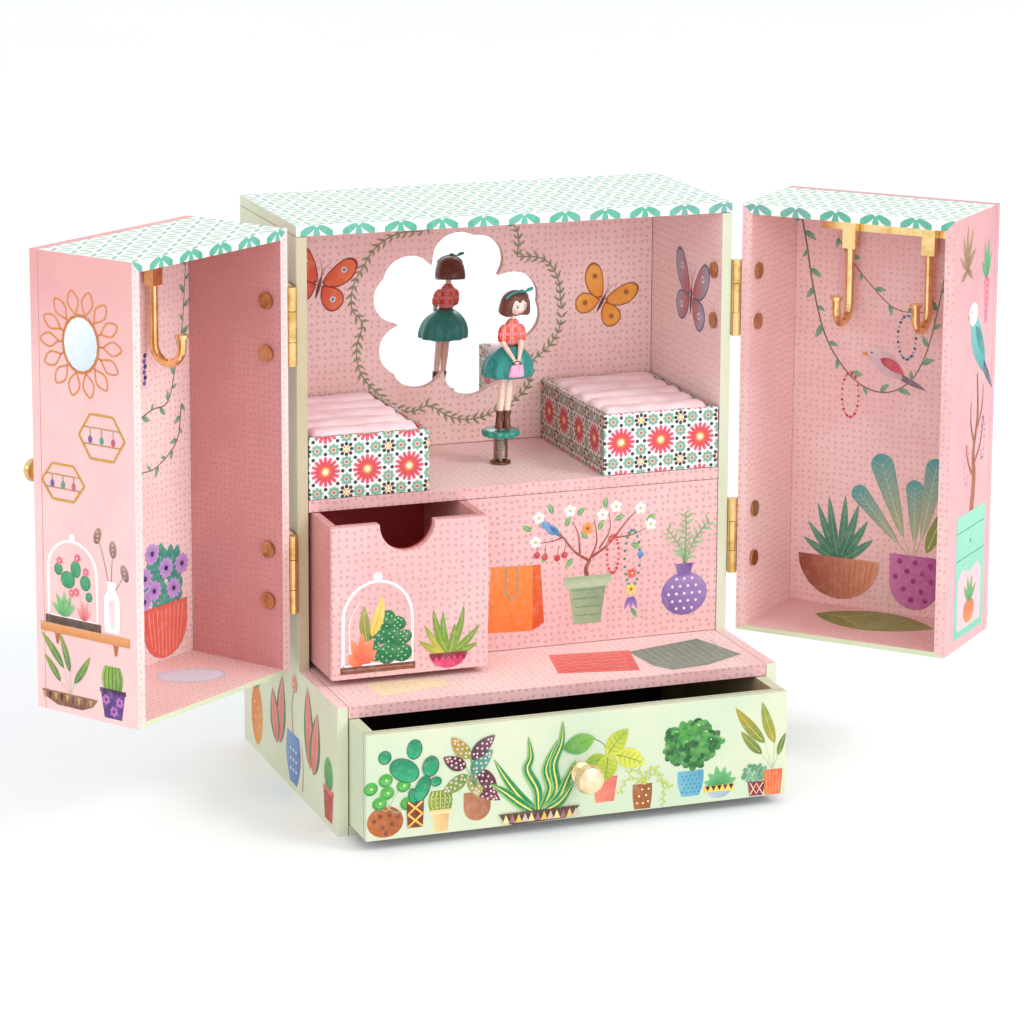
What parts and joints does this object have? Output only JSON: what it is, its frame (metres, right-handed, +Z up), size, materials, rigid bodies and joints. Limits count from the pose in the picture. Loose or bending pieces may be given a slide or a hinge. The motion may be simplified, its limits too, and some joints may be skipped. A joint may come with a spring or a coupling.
{
  "type": "ballerina jewellery box",
  "caption": "Paper-covered wardrobe jewellery box with two hollow doors, two drawers, ring trays and a wind-up music movement that turns a figurine before a mirror.",
  "frame": {"origin": "on the floor, at the middle of the width, in the plane of the upper cabinet's front edges", "axes": "+X to the right seen from the front, +Y to the back, +Z up; the doors and drawers open towards -Y"},
  "size_m": [0.383, 0.1719, 0.221],
  "materials": {
    "cream_paper_board": "printed matt paper wrap",
    "pink_dotted_board": "printed matt paper wrap, dots",
    "six_petal_paper_board": "printed matt paper wrap, teal petals",
    "medallion_paper_board": "printed matt paper wrap, medallions",
    "pink_satin": "soft satin over foam",
    "mirror_acrylic": "mirror",
    "brass": "polished plate",
    "bright_steel": "bright",
    "dark_spring_wire": "dark, oiled",
    "teal_plastic": "painted",
    "painted_resin": "hand painted"
  },
  "bodies": {
    "cabinet": {"left_side_panel": "cream_paper_board", "right_side_panel": "cream_paper_board", "top_panel": "six_petal_paper_board", "back_panel": "cream_paper_board", "base_floor": "cream_paper_board", "base_shelf": "pink_dotted_board", "stage_board": "pink_dotted_board", "compartment_divider": "pink_dotted_board", "music_cover_panel": "pink_dotted_board", "mirror": "mirror_acrylic", "back_lining": "pink_dotted_board", "left_ring_tray": "medallion_paper_board", "right_ring_tray": "medallion_paper_board", "left_ring_rolls": "pink_satin", "right_ring_rolls": "pink_satin", "movement_frame": "brass", "tone_comb": "bright_steel", "spindle_bush": "bright_steel", "left_upper_cabinet_leaf": "brass", "left_lower_cabinet_leaf": "brass", "right_upper_cabinet_leaf": "brass", "right_lower_cabinet_leaf": "brass"},
    "left_door": {"left_door_frame": "pink_dotted_board", "left_door_panel": "cream_paper_board", "left_door_knob": "brass", "left_hook_rail": "brass", "left_hook_1": "brass", "left_hook_2": "brass", "left_upper_door_leaf": "brass", "left_lower_door_leaf": "brass"},
    "right_door": {"right_door_frame": "pink_dotted_board", "right_door_panel": "cream_paper_board", "right_door_knob": "brass", "right_hook_rail": "brass", "right_hook_1": "brass", "right_hook_2": "brass", "right_upper_door_leaf": "brass", "right_lower_door_leaf": "brass"},
    "base_drawer": {"base_drawer_front": "cream_paper_board", "base_drawer_tray": "pink_dotted_board", "base_drawer_knob": "brass"},
    "small_drawer": {"small_drawer_front": "pink_dotted_board", "small_drawer_tray": "pink_dotted_board"},
    "winding_drive": {"spring_barrel": "bright_steel", "winding_key": "brass"},
    "cylinder": {"music_cylinder": "brass"},
    "governor": {"governor_fly": "bright_steel"},
    "turntable": {"spindle": "bright_steel", "figurine_spring": "dark_spring_wire", "figurine_disc": "teal_plastic", "figurine": "painted_resin", "figurine_skirt": "teal_plastic"}
  },
  "joints": [
    {"name": "left_door_hinge", "type": "hinge", "parent": "cabinet", "child": "left_door", "pos_m": [-0.09, -0.0004, 0.135], "axis": [0, 0, -1], "range_deg": [-145, 35]},
    {"name": "right_door_hinge", "type": "hinge", "parent": "cabinet", "child": "right_door", "pos_m": [0.09, -0.0004, 0.135], "axis": [0, 0, 1], "range_deg": [-132.5, 47.5]},
    {"name": "base_drawer_slide", "type": "slide", "parent": "cabinet", "child": "base_drawer", "axis": [0, -1, 0], "range_m": [-0.0204, 0.0596]},
    {"name": "small_drawer_slide", "type": "slide", "parent": "cabinet", "child": "small_drawer", "axis": [0, -1, 0], "range_m": [-0.025, 0.025]},
    {"name": "barrel_turn", "type": "hinge", "parent": "cabinet", "child": "winding_drive", "pos_m": [0.0413, 0.0406, 0.082], "axis": [0, 1, 0], "continuous": true},
    {"name": "cylinder_turn", "type": "hinge", "parent": "cabinet", "child": "cylinder", "pos_m": [0.0053, 0.0406, 0.082], "axis": [0, 1, 0], "continuous": true},
    {"name": "governor_turn", "type": "hinge", "parent": "cabinet", "child": "governor", "pos_m": [-0.0132, 0.0421, 0.082], "axis": [0, 0, 1], "continuous": true},
    {"name": "spindle_turn", "type": "hinge", "parent": "cabinet", "child": "turntable", "pos_m": [0.0053, 0.034, 0.1158], "axis": [0, 0, 1], "continuous": true}
  ],
  "couplings": [
    {"joint": "cylinder_turn", "follows": "barrel_turn", "ratio": -1.25},
    {"joint": "spindle_turn", "follows": "barrel_turn", "ratio": 2.4},
    {"joint": "governor_turn", "follows": "barrel_turn", "ratio": 40}
  ]
}
